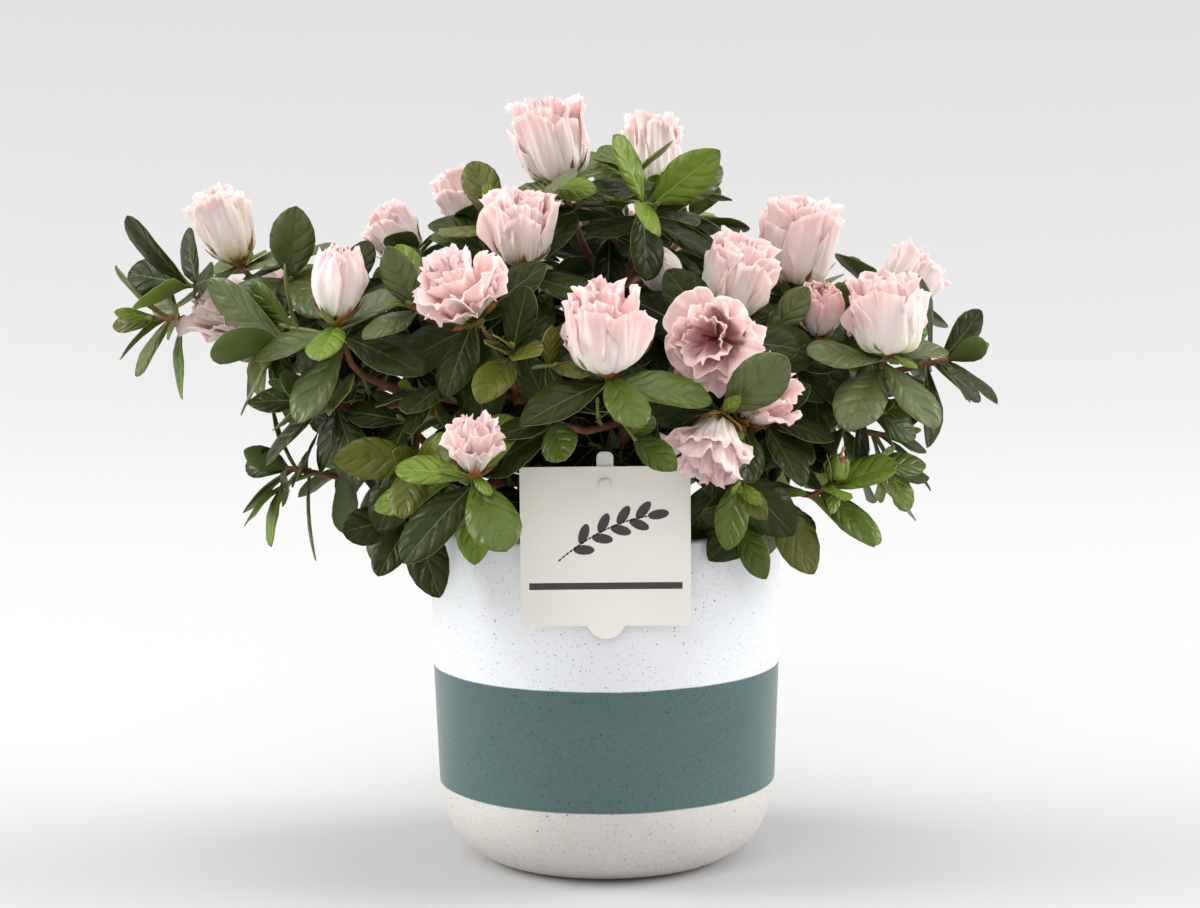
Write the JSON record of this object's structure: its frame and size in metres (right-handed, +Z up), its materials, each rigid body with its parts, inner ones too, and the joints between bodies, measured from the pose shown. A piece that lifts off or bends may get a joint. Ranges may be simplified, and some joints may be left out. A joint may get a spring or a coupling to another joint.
{
  "type": "potted azalea in bloom",
  "caption": "Small evergreen azalea with double pale pink blooms and dark leaves on short woody boughs, in a banded stoneware pot with a plain hang card on a clear pick",
  "frame": {"origin": "centre of the flat underside of the pot", "axes": "+Z is up, -Y is the front with the card, +X is to the right seen from the front"},
  "size_m": [0.3504, 0.283, 0.3076],
  "materials": {
    "pot": "speckled satin glaze in a white band over a grey-green band, over a bare sandy foot",
    "compost": "dark crumbly potting compost",
    "bark": "matt brown bark, redder on the young wood",
    "foliage": "satin dark green leaves with pale pink ruffled blooms",
    "card": "uncoated warm white card",
    "pick": "clear moulded plastic"
  },
  "bodies": {
    "root": {"pot": "pot", "compost": "compost", "trunk": "bark", "bough_front": "bark", "bough_centreLeft": "bark", "bough_rightFront": "bark", "bough_rightLow": "bark", "bough_rightShoulder": "bark", "bough_rightTip": "bark", "bough_lowRight": "bark", "bough_leftFront": "bark", "bough_leftShoulder": "bark", "bough_leftLow": "bark", "bough_lowLeft": "bark", "bough_upperLeft": "bark", "bough_crownTop": "bark", "bough_backRight": "bark", "bough_backLeft": "bark", "bough_backTop": "bark", "bough_backLow": "bark", "mass_front": "foliage", "mass_centreLeft": "foliage", "mass_rightFront": "foliage", "mass_rightLow": "foliage", "mass_rightShoulder": "foliage", "mass_rightTip": "foliage", "mass_lowRight": "foliage", "mass_leftFront": "foliage", "mass_leftShoulder": "foliage", "mass_leftLow": "foliage", "mass_lowLeft": "foliage", "mass_upperLeft": "foliage", "mass_crownTop": "foliage", "mass_backRight": "foliage", "mass_backLeft": "foliage", "mass_backTop": "foliage", "mass_backLow": "foliage", "card": "card", "pick": "pick"}
  },
  "joints": []
}
